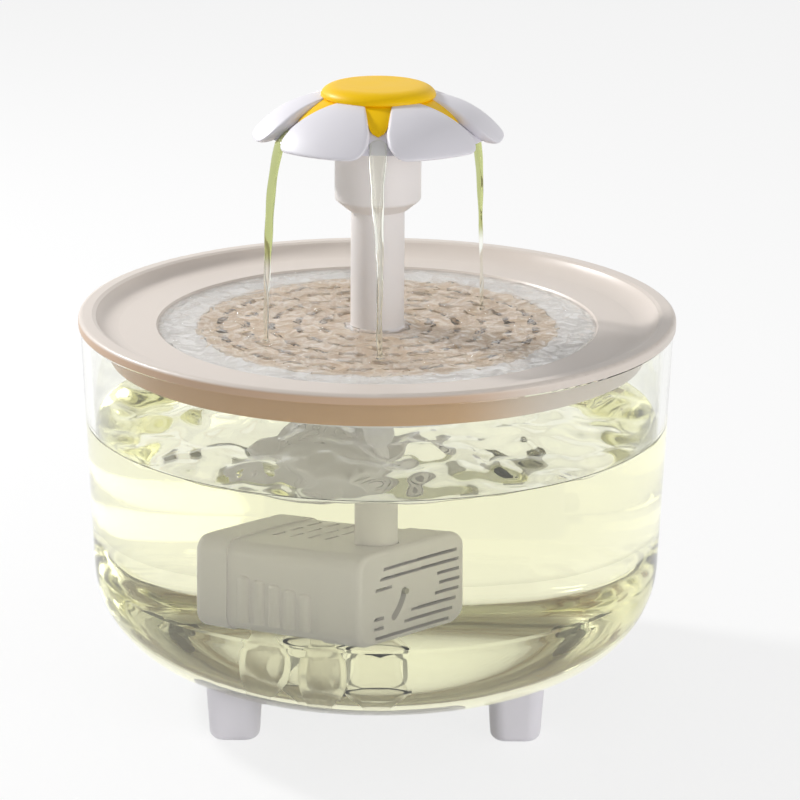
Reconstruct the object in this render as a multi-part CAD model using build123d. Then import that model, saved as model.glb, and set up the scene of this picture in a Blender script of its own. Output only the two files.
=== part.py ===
from build123d import *
import os
from math import cos, pi, radians, sin, sqrt

# Pet water fountain, millimetres. A clear bowl on four feet holds the water and a
# submersible pump. A lift-off tray covers the bowl, holds the filter under a grid, and
# carries a riser with a flower spout. The pump sends water up the riser, it leaves the
# flower between the petals, falls into the tray's pool and drains through the filter.
# +Z is up. The origin is on the fountain's axis, in the plane that the foot pads stand on.

# ---- fits -------------------------------------------------------------------------
running_fit = 0.05        # radial, shaft in a bush and lever on its pin
sliding_fit = 0.15        # radial, plug-in tubes
loose_fit = 0.3           # between a lift-out piece and its seat

# ---- bowl -------------------------------------------------------------------------
bowl_height = 106.3
bowl_top_r = 91.9
bowl_taper = 4.05         # the straight wall draws in by this much down to the underside
bowl_corner_r = 30.6
bowl_wall = 2.6
bowl_floor = 3.0
bowl_lip_fillet = 0.6
cable_notch_width = 7.0
cable_notch_depth = 6.0

# ---- feet -------------------------------------------------------------------------
foot_height = 15.0        # from the pads' undersides to the bowl's underside
foot_width = 17.6
foot_sole_width = 15.2
foot_corner_r = 5.0
foot_sole_r = 2.6         # rounding around the sole
foot_circle_r = 61.0
foot_reach_up = 6.0       # how far the foot's outer side climbs the bowl's curve
foot_peg_r = 3.5
foot_peg_length = 8.0
pad_r = 4.6
pad_thickness = 1.6
pad_proud = 0.4

# ---- tray -------------------------------------------------------------------------
rim_overhang = 0.6        # the rim stands this far out past the bowl's lip
rim_height = 3.1
rim_edge_r = 1.4
lip_width = 5.4
lip_bevel_run = 1.2
lip_bevel_drop = 0.5
deck_drop = 4.0           # from the lip's top down to the deck
slope_run = 7.0           # radial width of the hollow slope inside the lip
tray_wall = 2.0
skirt_gap = 6.3           # between the skirt and the bowl's wall
skirt_wall = 1.6
skirt_drop = 12.0         # from the lip's top to the skirt's lower edge
bead_height = 1.0         # ring that centres the tray in the bowl
bead_width = 1.4
pool_r = 68.5
pool_bank_run = 1.8
pool_depth = 2.5          # from the deck down to the shelf around the grid
chamber_r = 54.0
chamber_depth = 12.5      # from the shelf down to the chamber's floor
drain_circle_r = 46.0
drain_r = 2.5
drain_count = 12
hub_r = 9.8
hub_rise = 0.5            # hub's top above the shelf

# ---- filter -----------------------------------------------------------------------
grid_ledge = 2.0          # radial width of the ledge that the grid rests on
grid_thickness = 2.0
grid_slot_width = 2.2
grid_slot_rows = (17.0, 25.0, 33.0, 41.0, 49.0)
grid_slot_pitch = 11.0    # along each ring of slots
grid_slot_bridge = 3.0    # solid plate left between two slots
felt_wall = 1.2

# ---- riser and spout --------------------------------------------------------------
riser_r = 8.3
riser_bore_r = 5.6
riser_top = 42.0          # above the tray's lip
riser_foot_r = 9.8
riser_foot_height = 1.4
socket_r = 6.9
socket_length = 24.0      # below the riser's foot
collar_r = 13.3
collar_bottom = 32.2      # above the tray's lip
collar_top = 54.0
collar_neck_r = 9.4
collar_chamfer_height = 3.2
collar_shoulder_r = 1.2
collar_wall = 2.0
collar_stop = 1.6
neck_wall = 2.2
spout_ring_thickness = 1.2

# ---- flower -----------------------------------------------------------------------
flower_r = 39.8           # petals' outer corner before rounding
flower_rim_z = 54.4       # level underside of the petals' rim, above the tray's lip
flower_shoulder_r = 28.3
flower_shoulder_z = 63.8
flower_crown_r = 14.0
flower_crown_z = 68.0
petal_count = 6
petal_thickness = 3.0
petal_rim_r = 1.6
gutter_wall = 1.3
gap_inner_width = 8.2
gap_outer_width = 5.4
gap_inner_r = 15.5
gap_narrow_r = 31.5
gap_mouth_width = 15.0
gap_flare = 1.1           # how far each side has opened halfway out to the mouth
centre_r = 17.6
centre_thickness = 3.4
centre_top = 70.9         # above the tray's lip
centre_edge_r = 1.7
arm_reach = 30.0
arm_root_width = 7.4
arm_tip_width = 2.2
arm_thickness = 1.7
plug_length = 12.0
plug_rib = 1.6

# ---- pump -------------------------------------------------------------------------
pump_heading = -31.0      # the slotted face's direction, from +X towards +Y
pump_width = 45.8
pump_height = 30.0
pump_offset = 2.6         # outlet axis to the middle of the width
outlet_to_face = 7.6
cover_depth = 11.5
pump_body_length = 24.8
pump_cap_length = 8.1
pump_step = 0.6           # cover and cap stand this far proud of the body
pump_corner_r = 5.5
pump_edge_r = 1.6
pump_wall = 1.8
cover_wall = 1.6
rotor_well_r = 6.1
rotor_well_depth = 14.0
rotor_well_wall = 1.0
rib_count = 5
rib_share = 0.84          # rib width as a share of the ribs' pitch
rib_proud = 0.35          # share of a rib's radius that is sunk in the side
rib_foot = 4.0            # ribs' lower ends above the underside
rib_rise = 1.0            # first rib's top above the rotor's axis
rib_climb = 0.8           # each rib's top above the one before it
volute_r = 11.6
volute_wall = 1.6
volute_depth = 7.0
impeller_r = 10.2
impeller_thickness = 4.6
impeller_blades = 6
impeller_plate = 1.2
impeller_hub_wall = 2.0
blade_thickness = 1.2
blade_gap = 0.2           # blades end this far inside the plate's edge
magnet_r = 5.7
magnet_bore_r = 3.4
magnet_length = 10.5
shaft_r = 1.0
bush_r = 2.6
bush_length = 2.4
volute_plate = 1.5
spoke_width = 1.8
bush_boss_wall = 1.0
intake_r = 6.4
seal_ring_width = 0.8
neck_r = 5.0
spigot_r = 3.4
spigot_bore_r = 1.9
spigot_length = 8.0
outlet_tube_entry = 6.9   # how far the tube reaches into the riser's socket
core_leg = 5.0
core_height = 10.0
core_length = 22.0
coil_build = 3.0
board_thickness = 1.2
board_height = 16.0
board_gap = 1.5
board_margin = 3.0
capacitor_width = 6.0
capacitor_depth = 2.4
chip_width = 3.4
chip_depth = 1.8
cap_lip_length = 2.5
gland_r = 4.2
gland_hole_r = 3.0
gland_flange = 1.2
gland_wall = 1.0
gland_bore_r = 2.2
gland_length = 6.0

# intake slots of the front cover: row counted from the top, start and end along the face
slot_rows = (
    (0, -9.0, 22.0), (1, -10.5, 22.8), (2, -12.6, -5.2), (2, 14.3, 23.0),
    (3, 15.0, 23.2), (4, 13.4, 22.8), (5, -13.2, -8.8), (5, 3.4, 21.8),
    (6, -13.2, -8.8), (6, 0.4, 20.4), (7, -12.8, 19.0),
)
slot_height = 1.1
slot_pitch = 3.12
slot_top_margin = 5.9     # cover's top to the first row's middle
top_groove_depth = 0.5
top_groove_width = 1.0
top_groove_length = 6.0
top_groove_pitch = 8.0
top_groove_rows = 4
top_groove_row_pitch = 4.0
top_groove_stagger = 0.8

# flow lever, swinging behind the cover's face about a pin near its upper left corner
lever_pin_side = -14.3    # along the face
lever_pin_drop = 10.8     # below the cover's top
lever_reach = 15.2
lever_high_angle = -15.0  # knob's bearing from the pin, fully open
lever_swing = 33.0
lever_arm_width = 3.0
lever_arm_thickness = 0.8
lever_pin_r = 1.0
lever_eye_r = 2.4
lever_knob_r = 0.9
lever_knob_proud = 0.7

# suction cups under the pump
cup_height = 9.5
cup_r = 7.0
cup_neck_r = 2.9
cup_wall = 1.0
cup_stud_r = 1.9
cup_spacing_x = 15.4
cup_spacing_y = 25.0

# ---- levels and radii that follow -------------------------------------------------
bowl_bottom_z = foot_height
bowl_top_z = bowl_bottom_z + bowl_height
floor_z = bowl_bottom_z + bowl_floor
lip_z = bowl_top_z + rim_height
deck_z = lip_z - deck_drop
shelf_z = deck_z - pool_depth
grid_z = shelf_z - grid_thickness
chamber_z = shelf_z - chamber_depth
tray_bottom_z = chamber_z - tray_wall
hub_z = shelf_z + hub_rise
grid_seat_r = chamber_r + grid_ledge
bowl_base_r = bowl_top_r - bowl_taper
rim_r = bowl_top_r + rim_overhang
skirt_r = bowl_top_r - bowl_wall - skirt_gap
riser_foot_z = hub_z
socket_z = riser_foot_z - socket_length
pump_z = floor_z + cup_height
pump_top_z = pump_z + pump_height
rotor_z = pump_z + pump_height / 2
face_x = outlet_to_face
cover_back_x = face_x - cover_depth
body_back_x = cover_back_x - pump_body_length
cap_back_x = body_back_x - pump_cap_length
volute_back_x = cover_back_x
volute_front_x = volute_back_x + volute_depth
neck_shoulder_z = pump_top_z + 0.8
outlet_tube_top_z = socket_z + outlet_tube_entry
pump_place = Location((0, 0, 0), (0, 0, pump_heading))
foot_angles = {
    "front_left": 225,
    "front_right": 315,
    "back_right": 45,
    "back_left": 135,
}

os.makedirs("parts", exist_ok=True)


# ---- shapes used by several pieces ------------------------------------------------
def turned(*points):
    """A solid of revolution about the fountain's axis from (radius, height) points."""
    outline = Plane.XZ * make_face(Polyline(*points, close=True))
    return revolve(outline, Axis.Z)


def ring(outer_r, inner_r, low_z, high_z):
    height = high_z - low_z
    tube = Cylinder(outer_r, height) - Cylinder(inner_r, height)
    return Pos(0, 0, (low_z + high_z) / 2) * tube


def disc(radius, low_z, high_z):
    return Pos(0, 0, (low_z + high_z) / 2) * Cylinder(radius, high_z - low_z)


def block(x, y, z):
    """A box between pairs of limits along each axis."""
    middle = Pos((x[0] + x[1]) / 2, (y[0] + y[1]) / 2, (z[0] + z[1]) / 2)
    return middle * Box(x[1] - x[0], y[1] - y[0], z[1] - z[0])


def rod_x(radius, low_x, high_x, y=0.0, z=0.0):
    """A round bar along the pump's length."""
    bar = Rot(0, 90, 0) * Cylinder(radius, high_x - low_x)
    return Pos((low_x + high_x) / 2, y, z) * bar


def save(solid, name):
    solid.label = name
    export_step(solid, f"parts/{name}.step")


# ---- bowl -------------------------------------------------------------------------
def bowl_form(inset, low_z, corner_r):
    """The bowl's drafted form, drawn in by inset, down to a level."""
    form = turned(
        (0, low_z),
        (bowl_base_r - inset, low_z),
        (bowl_top_r - inset, bowl_top_z),
        (0, bowl_top_z),
    )
    corner = form.edges().filter_by(GeomType.CIRCLE).sort_by(Axis.Z)[0]
    return fillet(corner, corner_r)


def foot_spot(name):
    angle = radians(foot_angles[name])
    return Pos(foot_circle_r * cos(angle), foot_circle_r * sin(angle), 0)


def make_bowl():
    bowl = bowl_form(0, bowl_bottom_z, bowl_corner_r)
    bowl -= bowl_form(bowl_wall, floor_z, bowl_corner_r - bowl_wall)
    lip = bowl.edges().filter_by(GeomType.CIRCLE).group_by(Axis.Z)[-1]
    bowl = fillet(lip, bowl_lip_fillet)
    peg_top = bowl_bottom_z + bowl_floor / 2
    for name in foot_angles:
        bowl += foot_spot(name) * disc(foot_peg_r, bowl_bottom_z - foot_peg_length, peg_top)
    # round-bottomed way for the pump's cable, in the lip at the back
    notch_r = cable_notch_width / 2
    notch_z = bowl_top_z - cable_notch_depth + notch_r
    wall_y = (bowl_top_r - 2 * bowl_wall, bowl_top_r + bowl_wall)
    bottom = Rot(90, 0, 0) * Cylinder(notch_r, wall_y[1] - wall_y[0])
    bowl -= Pos(0, (wall_y[0] + wall_y[1]) / 2, notch_z) * bottom
    return bowl - block((-notch_r, notch_r), wall_y, (notch_z, bowl_top_z))


# ---- feet -------------------------------------------------------------------------
def make_foot(name):
    top_z = bowl_bottom_z + foot_reach_up
    sole = Pos(0, 0, pad_proud) * RectangleRounded(foot_sole_width, foot_sole_width, foot_corner_r)
    top = Pos(0, 0, top_z) * RectangleRounded(foot_width, foot_width, foot_corner_r)
    foot = loft([sole.face(), top.face()])
    foot = fillet(foot.edges().group_by(Axis.Z)[0], foot_sole_r)
    foot -= disc(foot_peg_r + sliding_fit, bowl_bottom_z - foot_peg_length - loose_fit, top_z)
    foot -= disc(pad_r, 0, pad_thickness)
    return foot_spot(name) * foot - bowl_form(0, bowl_bottom_z, bowl_corner_r)


def make_foot_pad(name):
    pad = disc(pad_r, 0, pad_thickness)
    return foot_spot(name) * chamfer(pad.edges().sort_by(Axis.Z)[0], pad_proud / 2)


# ---- tray -------------------------------------------------------------------------
def make_tray_shell():
    """Lip, hollow slope, deck and pool bank as one turned wall."""
    slope_r = rim_r - lip_width
    slope_z = lip_z - lip_bevel_drop
    deck_outer_r = slope_r - slope_run
    bank_r = pool_r - pool_bank_run
    edge = rim_edge_r
    top = [
        Line((grid_seat_r, shelf_z), (bank_r, shelf_z)),
        Line((bank_r, shelf_z), (pool_r, deck_z)),
        Line((pool_r, deck_z), (deck_outer_r, deck_z)),
        TangentArc((deck_outer_r, deck_z), (slope_r, slope_z), tangent=(1, 0)),
        Line((slope_r, slope_z), (slope_r + lip_bevel_run, lip_z)),
        Line((slope_r + lip_bevel_run, lip_z), (rim_r - edge, lip_z)),
        RadiusArc((rim_r - edge, lip_z), (rim_r, lip_z - edge), edge),
        Line((rim_r, lip_z - edge), (rim_r, bowl_top_z)),
    ]
    under = [
        Line((rim_r, bowl_top_z), (slope_r, bowl_top_z)),
        Line((slope_r, bowl_top_z), (deck_outer_r, deck_z - tray_wall)),
        Line((deck_outer_r, deck_z - tray_wall), (pool_r + tray_wall, deck_z - tray_wall)),
        Line((pool_r + tray_wall, deck_z - tray_wall), (bank_r + tray_wall, grid_z - tray_wall)),
        Line((bank_r + tray_wall, grid_z - tray_wall), (grid_seat_r, grid_z - tray_wall)),
        Line((grid_seat_r, grid_z - tray_wall), (grid_seat_r, shelf_z)),
    ]
    return revolve(Plane.XZ * make_face(top + under), Axis.Z)


def make_tray():
    tray = make_tray_shell()
    # filter chamber with its ledge for the grid, and the hub that the riser plugs into
    chamber_wall_r = chamber_r + tray_wall
    tray += ring(chamber_wall_r + tray_wall, chamber_r, grid_z - tray_wall, grid_z)
    tray += ring(chamber_wall_r, chamber_r, tray_bottom_z, grid_z)
    tray += ring(chamber_wall_r, socket_r + sliding_fit, tray_bottom_z, chamber_z)
    tray += ring(hub_r, socket_r + sliding_fit, tray_bottom_z, hub_z)
    # skirt under the slope, and the bead that centres the tray in the bowl
    tray += ring(skirt_r, skirt_r - skirt_wall, lip_z - skirt_drop, deck_z - tray_wall / 2)
    bead_r = bowl_top_r - bowl_wall - loose_fit
    tray += ring(bead_r, bead_r - bead_width, bowl_top_z - bead_height, bowl_top_z)
    drains = PolarLocations(drain_circle_r, drain_count) * Cylinder(drain_r, 3 * tray_wall)
    tray -= [Pos(0, 0, tray_bottom_z) * drain for drain in drains]
    # the cable's way through the skirt and the bead
    notch_x = (-cable_notch_width / 2, cable_notch_width / 2)
    skirt_y = (skirt_r - 2 * skirt_wall, skirt_r + skirt_wall)
    tray -= block(notch_x, skirt_y, (lip_z - skirt_drop, deck_z - tray_wall - loose_fit))
    bead_y = (bead_r - 2 * bead_width, bowl_top_r)
    return tray - block(notch_x, bead_y, (bowl_top_z - bead_height, bowl_top_z))


# ---- filter -----------------------------------------------------------------------
def grid_slots(row_r):
    """One ring of curved slots, each a short stretch of the same annulus."""
    count = round(2 * pi * row_r / grid_slot_pitch)
    half = grid_slot_width / 2
    annulus = ring(row_r + half, row_r - half, grid_z, shelf_z)
    across = (-grid_slot_bridge / 2, grid_slot_bridge / 2)
    bridge = block((0, row_r + 2 * half), across, (grid_z, shelf_z))
    return annulus - [Rot(0, 0, 360 * k / count) * bridge for k in range(count)]


def make_filter_grid():
    grid = ring(grid_seat_r - loose_fit, hub_r + 2 * loose_fit, grid_z, shelf_z)
    for row_r in grid_slot_rows:
        grid -= grid_slots(row_r)
    return grid


def filter_ring(inset):
    return ring(
        chamber_r - loose_fit - inset,
        hub_r + 2 * loose_fit + inset,
        chamber_z + inset,
        grid_z - loose_fit - inset,
    )


def make_filter_felt():
    return filter_ring(0) - filter_ring(felt_wall)


def make_filter_carbon():
    return filter_ring(felt_wall)


# ---- riser and spout --------------------------------------------------------------
def make_riser():
    top_z = lip_z + riser_top
    riser = disc(riser_r, riser_foot_z, top_z)
    foot_top_z = riser_foot_z + riser_foot_height
    riser += turned(
        (0, riser_foot_z),
        (riser_foot_r, riser_foot_z),
        (riser_foot_r, riser_foot_z + riser_foot_height / 3),
        (riser_r, foot_top_z),
        (0, foot_top_z),
    )
    riser += disc(socket_r, socket_z, riser_foot_z)
    riser -= disc(riser_bore_r, outlet_tube_top_z, top_z)
    riser -= disc(neck_r + sliding_fit, socket_z, outlet_tube_top_z)
    return riser


def collar_bore_r():
    return riser_r + sliding_fit


def make_collar():
    low_z = lip_z + collar_bottom
    stop_z = lip_z + riser_top
    top_z = lip_z + collar_top
    collar = turned(
        (0, low_z),
        (collar_neck_r, low_z),
        (collar_r, low_z + collar_chamfer_height),
        (collar_r, top_z),
        (0, top_z),
    )
    shoulder = collar.edges().filter_by(GeomType.CIRCLE).group_by(Axis.Z)[1]
    collar = fillet(shoulder, collar_shoulder_r)
    collar -= disc(collar_bore_r(), low_z, stop_z)
    collar -= disc(riser_bore_r, stop_z, stop_z + collar_stop)
    collar -= disc(collar_r - collar_wall, stop_z + collar_stop, top_z)
    return collar


def make_spout_ring():
    low_z = lip_z + riser_top + collar_stop
    return ring(collar_r - collar_wall, riser_bore_r, low_z, low_z + spout_ring_thickness)


# ---- flower -----------------------------------------------------------------------
def dome_arc(inset):
    """The petals' upper line, drawn in by inset, from the crown down to the rim's level."""
    line = ThreePointArc(
        (flower_crown_r, lip_z + flower_crown_z),
        (flower_shoulder_r, lip_z + flower_shoulder_z),
        (flower_r, lip_z + flower_rim_z),
    )
    centre = line.arc_center
    reach = line.radius - inset
    crown = centre + (line @ 0 - centre) * (reach / line.radius)
    drop = centre.Y - lip_z - flower_rim_z
    rim = centre + Vector(sqrt(reach**2 - drop**2), -drop)
    middle = centre + (crown + rim - centre * 2).normalized() * reach
    return ThreePointArc(crown, middle, rim)


def dome_band(outer_inset, inner_inset):
    """The turned shell between two insets of the petals' upper line."""
    outer = dome_arc(outer_inset)
    inner = dome_arc(inner_inset)
    outer_top = (0, (outer @ 0).Y)
    inner_top = (0, (inner @ 0).Y)
    outline = make_face([
        outer,
        Line(outer @ 1, inner @ 1),
        inner,
        Line(inner @ 0, inner_top),
        Line(inner_top, outer_top),
        Line(outer_top, outer @ 0),
    ])
    return revolve(Plane.XZ * outline, Axis.Z)


def petal_gap():
    """The plan of the gap between two petals, pointing along -Y."""
    outer = flower_r + petal_thickness
    return make_face([
        Line((-gap_inner_width / 2, -gap_inner_r), (gap_inner_width / 2, -gap_inner_r)),
        Line((gap_inner_width / 2, -gap_inner_r), (gap_outer_width / 2, -gap_narrow_r)),
        Spline(
            (gap_outer_width / 2, -gap_narrow_r),
            (gap_outer_width / 2 + gap_flare, -(gap_narrow_r + outer) / 2),
            (gap_mouth_width / 2, -outer),
        ),
        Line((gap_mouth_width / 2, -outer), (-gap_mouth_width / 2, -outer)),
        Spline(
            (-gap_mouth_width / 2, -outer),
            (-gap_outer_width / 2 - gap_flare, -(gap_narrow_r + outer) / 2),
            (-gap_outer_width / 2, -gap_narrow_r),
        ),
        Line((-gap_outer_width / 2, -gap_narrow_r), (-gap_inner_width / 2, -gap_inner_r)),
    ])


def make_petals():
    shell_inset = petal_thickness + gutter_wall
    crown_z = lip_z + flower_crown_z
    flower = dome_band(0, shell_inset)
    rim = flower.edges().filter_by(GeomType.CIRCLE).sort_by(SortBy.RADIUS)[-1]
    flower = fillet(rim, petal_rim_r)
    gap = Pos(0, 0, lip_z) * extrude(petal_gap(), flower_crown_z)
    raised = dome_band(-petal_thickness, petal_thickness)
    cut = raised & gap
    flower -= [Rot(0, 0, 360 * k / petal_count) * cut for k in range(petal_count)]
    # pocket that the flower's centre sits in
    flower -= disc(centre_r + loose_fit, crown_z - petal_thickness, crown_z + petal_thickness)
    # neck that plugs into the collar, and the water's way up
    neck_r_outer = collar_r - collar_wall - sliding_fit
    low_z = lip_z + riser_top + collar_stop + spout_ring_thickness
    flower += disc(neck_r_outer, low_z, crown_z - petal_thickness - gutter_wall / 2)
    flower -= disc(neck_r_outer - neck_wall, low_z, crown_z)
    return flower


def make_flower_centre():
    top_z = lip_z + centre_top
    low_z = top_z - centre_thickness
    button = disc(centre_r, low_z, top_z)
    button = fillet(button.edges().sort_by(Axis.Z)[-1], centre_edge_r)
    arm_plan = make_face(Polyline(
        (-arm_root_width / 2, 0),
        (arm_root_width / 2, 0),
        (arm_root_width / 2, -gap_inner_r),
        (arm_tip_width / 2, -arm_reach),
        (-arm_tip_width / 2, -arm_reach),
        (-arm_root_width / 2, -gap_inner_r),
        close=True,
    ))
    band = dome_band(petal_thickness - loose_fit - arm_thickness, petal_thickness - loose_fit)
    arm = band & (Pos(0, 0, lip_z) * extrude(arm_plan, flower_crown_z))
    for k in range(petal_count):
        button += Rot(0, 0, 360 * k / petal_count) * arm
    plug_r = collar_r - collar_wall - sliding_fit - neck_wall - sliding_fit
    for turn in (0, 90):
        rib = Box(2 * plug_r, plug_rib, plug_length)
        button += Pos(0, 0, low_z - plug_length / 2 + arm_thickness) * Rot(0, 0, turn) * rib
    return button


# ---- pump -------------------------------------------------------------------------
def pump_bar(low_x, high_x, inset):
    """A bar of the pump's rounded cross-section, drawn in by inset on every side."""
    section = RectangleRounded(
        pump_width - 2 * inset, pump_height - 2 * inset, pump_corner_r - inset
    )
    plane = Plane(origin=(low_x, pump_offset, rotor_z), x_dir=(0, 1, 0), z_dir=(1, 0, 0))
    return extrude(plane * section, high_x - low_x)


def cup_spots():
    """Where the suction cups sit, in the pump's own plan."""
    middle_x = (cover_back_x + body_back_x) / 2
    return [
        Pos(middle_x + x * cup_spacing_x / 2, pump_offset + y * cup_spacing_y / 2, 0)
        for x in (-1, 1)
        for y in (-1, 1)
    ]


def rib_columns():
    """Upright half-round ribs along the lower half of both sides."""
    pitch = pump_body_length / (rib_count + 1)
    rib_r = rib_share * pitch / 2
    ribs = []
    for side in (-1, 1):
        y = pump_offset + side * (pump_width / 2 - pump_step - rib_r * rib_proud)
        for k in range(rib_count):
            x = cover_back_x - pitch * (k + 1)
            column = disc(rib_r, pump_z + rib_foot, rotor_z + rib_rise + k * rib_climb)
            column = fillet(column.edges().sort_by(Axis.Z)[-1], rib_r * 0.6)
            ribs.append(Pos(x, y, 0) * column)
    return ribs


def make_pump_housing():
    # potted body, open at the back, with the rotor's well in its front wall
    housing = pump_bar(body_back_x, cover_back_x, pump_step)
    housing += rib_columns()
    housing -= pump_bar(body_back_x, cover_back_x - pump_wall, pump_step + pump_wall)
    well_back_x = cover_back_x - rotor_well_depth
    housing += rod_x(rotor_well_r + rotor_well_wall, well_back_x, cover_back_x, z=rotor_z)
    # ring of the volute chamber with the outlet neck on top
    housing += rod_x(volute_r + volute_wall, volute_back_x, volute_front_x, z=rotor_z)
    housing += disc(neck_r, rotor_z, neck_shoulder_z)
    housing += disc(spigot_r, rotor_z, neck_shoulder_z + spigot_length)
    housing -= rod_x(volute_r, volute_back_x, volute_front_x + neck_r, z=rotor_z)
    housing -= rod_x(rotor_well_r, well_back_x + rotor_well_wall, volute_back_x, z=rotor_z)
    housing -= disc(spigot_bore_r, rotor_z, neck_shoulder_z + spigot_length)
    plate_seat_r = volute_r + volute_wall + loose_fit
    housing -= rod_x(plate_seat_r, volute_front_x, face_x, z=rotor_z)
    # groove for the seal ring, and holes for the cups' studs
    seal_r = volute_r + (volute_wall + seal_ring_width) / 2
    groove_back_x = volute_front_x - seal_ring_width
    housing -= rod_x(seal_r, groove_back_x, volute_front_x, z=rotor_z) - rod_x(
        seal_r - seal_ring_width, groove_back_x, volute_front_x, z=rotor_z
    )
    stud_top_z = pump_z + pump_step + pump_wall
    for spot in cup_spots():
        housing -= spot * disc(cup_stud_r, pump_z, stud_top_z)
    return housing - top_grooves()


def top_grooves():
    """Short shallow grooves across the top of the pump's body."""
    top_z = pump_top_z - pump_step
    groove = Box(top_groove_width, top_groove_length, 2 * top_groove_depth)
    grooves = []
    for row in range(top_groove_rows):
        x = body_back_x + top_groove_row_pitch * (row + 1)
        for dash in range(3):
            y = pump_offset + top_groove_pitch * (dash - 0.4) + row * top_groove_stagger
            grooves.append(Pos(x, y, top_z) * groove)
    return grooves


def make_front_cover():
    cover = pump_bar(cover_back_x, face_x, 0)
    front_edges = cover.edges().group_by(Axis.X)[-1]
    cover = fillet(front_edges, pump_edge_r)
    cover -= pump_bar(cover_back_x, face_x - cover_wall, cover_wall)
    # open-ended slot that lets the cover slide off past the outlet neck
    slot_half = neck_r + loose_fit
    cover -= block((cover_back_x, 0), (-slot_half, slot_half), (rotor_z, pump_top_z))
    cover -= disc(slot_half, rotor_z, pump_top_z)
    wall = (face_x - cover_wall, face_x)
    for row, start, end in slot_rows:
        z = pump_top_z - slot_top_margin - row * slot_pitch
        cover -= block(wall, (start, end), (z - slot_height / 2, z + slot_height / 2))
    cover -= knob_track(lever_knob_r + loose_fit)
    # pin that the flow lever turns on
    pin_z = pump_top_z - lever_pin_drop
    pin_back_x = wall[0] - 2 * lever_arm_thickness
    cover += rod_x(lever_pin_r, pin_back_x, face_x - cover_wall / 2, lever_pin_side, pin_z)
    return cover


def lever_point(angle, reach):
    """A point of the cover's face seen from the lever's pin, as (along, height)."""
    turn = radians(angle)
    pin_z = pump_top_z - lever_pin_drop
    return lever_pin_side + reach * cos(turn), pin_z + reach * sin(turn)


def knob_track(half_width):
    """The curved slot that the lever's knob travels in."""
    pin_z = pump_top_z - lever_pin_drop
    wall = (face_x - cover_wall, face_x)
    band = rod_x(lever_reach + half_width, *wall, lever_pin_side, pin_z)
    band -= rod_x(lever_reach - half_width, *wall, lever_pin_side, pin_z)
    ends = (lever_high_angle, lever_high_angle - lever_swing)
    far = lever_reach * 2
    plane = Plane(origin=(wall[0], 0, 0), x_dir=(0, 1, 0), z_dir=(1, 0, 0))
    sector = make_face(Polyline(
        (lever_pin_side, pin_z),
        lever_point(ends[0], far),
        lever_point(ends[1], far),
        close=True,
    ))
    track = band & extrude(plane * sector, cover_wall)
    for angle in ends:
        track += rod_x(half_width, *wall, *lever_point(angle, lever_reach))
    return track


def make_flow_lever():
    front_x = face_x - cover_wall - loose_fit
    span = (front_x - lever_arm_thickness, front_x)
    pin = lever_point(lever_high_angle, 0)
    knob = lever_point(lever_high_angle, lever_reach)
    lever = rod_x(lever_eye_r, *span, *pin)
    arm = block(span, (0, lever_reach), (-lever_arm_width / 2, lever_arm_width / 2))
    lever += Pos(0, *pin) * Rot(lever_high_angle, 0, 0) * arm
    lever += rod_x(lever_arm_width / 2, *span, *knob)
    lever += rod_x(lever_knob_r, front_x, face_x + lever_knob_proud, *knob)
    return lever - rod_x(lever_pin_r + running_fit, *span, *pin)


def make_volute_cover():
    plate_front_x = volute_front_x + volute_plate
    plate = rod_x(volute_r + volute_wall, volute_front_x, plate_front_x, z=rotor_z)
    plate -= rod_x(intake_r, volute_front_x, plate_front_x, z=rotor_z)
    # three spokes carry the front bush in the middle of the intake
    for k in range(3):
        across = (-spoke_width / 2, spoke_width / 2)
        spoke = block((volute_front_x, plate_front_x), across, (0, intake_r + spoke_width / 2))
        plate += Pos(0, 0, rotor_z) * Rot(120 * k, 0, 0) * spoke
    plate += rod_x(bush_r + bush_boss_wall, volute_front_x, plate_front_x, z=rotor_z)
    return plate - rod_x(bush_r, volute_front_x, plate_front_x, z=rotor_z)


def make_seal_ring():
    seal_r = volute_r + (volute_wall + seal_ring_width) / 2
    span = (volute_front_x - seal_ring_width, volute_front_x)
    return rod_x(seal_r, *span, z=rotor_z) - rod_x(seal_r - seal_ring_width, *span, z=rotor_z)


def rear_bush_x():
    back_x = cover_back_x - rotor_well_depth + rotor_well_wall
    return back_x, back_x + bush_length / 2


def make_shaft():
    back_x = rear_bush_x()[0]
    return rod_x(shaft_r, back_x, volute_front_x + volute_plate, z=rotor_z)


def make_bush(low_x, high_x, radius):
    bush = rod_x(radius, low_x, high_x, z=rotor_z)
    return bush - rod_x(shaft_r, low_x, high_x, z=rotor_z)


def impeller_span():
    middle_x = (volute_back_x + volute_front_x) / 2
    return middle_x - impeller_thickness / 2, middle_x + impeller_thickness / 2


def make_impeller():
    back_x, front_x = impeller_span()
    plate_x = back_x + impeller_plate
    impeller = rod_x(impeller_r, back_x, plate_x, z=rotor_z)
    impeller += rod_x(shaft_r + impeller_hub_wall, back_x, front_x, z=rotor_z)
    for k in range(impeller_blades):
        across = (-blade_thickness / 2, blade_thickness / 2)
        out = (shaft_r + impeller_hub_wall / 2, impeller_r - blade_gap)
        blade = block((back_x, front_x), across, out)
        impeller += Pos(0, 0, rotor_z) * Rot(360 * k / impeller_blades, 0, 0) * blade
    impeller += rod_x(magnet_bore_r, magnet_back_x(), back_x, z=rotor_z)
    bore = rod_x(shaft_r + running_fit, magnet_back_x(), front_x, z=rotor_z)
    return impeller - bore


def magnet_back_x():
    return impeller_span()[0] - magnet_length


def make_rotor_magnet():
    span = (magnet_back_x(), impeller_span()[0])
    return rod_x(magnet_r, *span, z=rotor_z) - rod_x(magnet_bore_r, *span, z=rotor_z)


def core_back_x():
    return cover_back_x - pump_wall - loose_fit - core_length


def core_leg_inner():
    return rotor_well_r + rotor_well_wall + loose_fit


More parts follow.
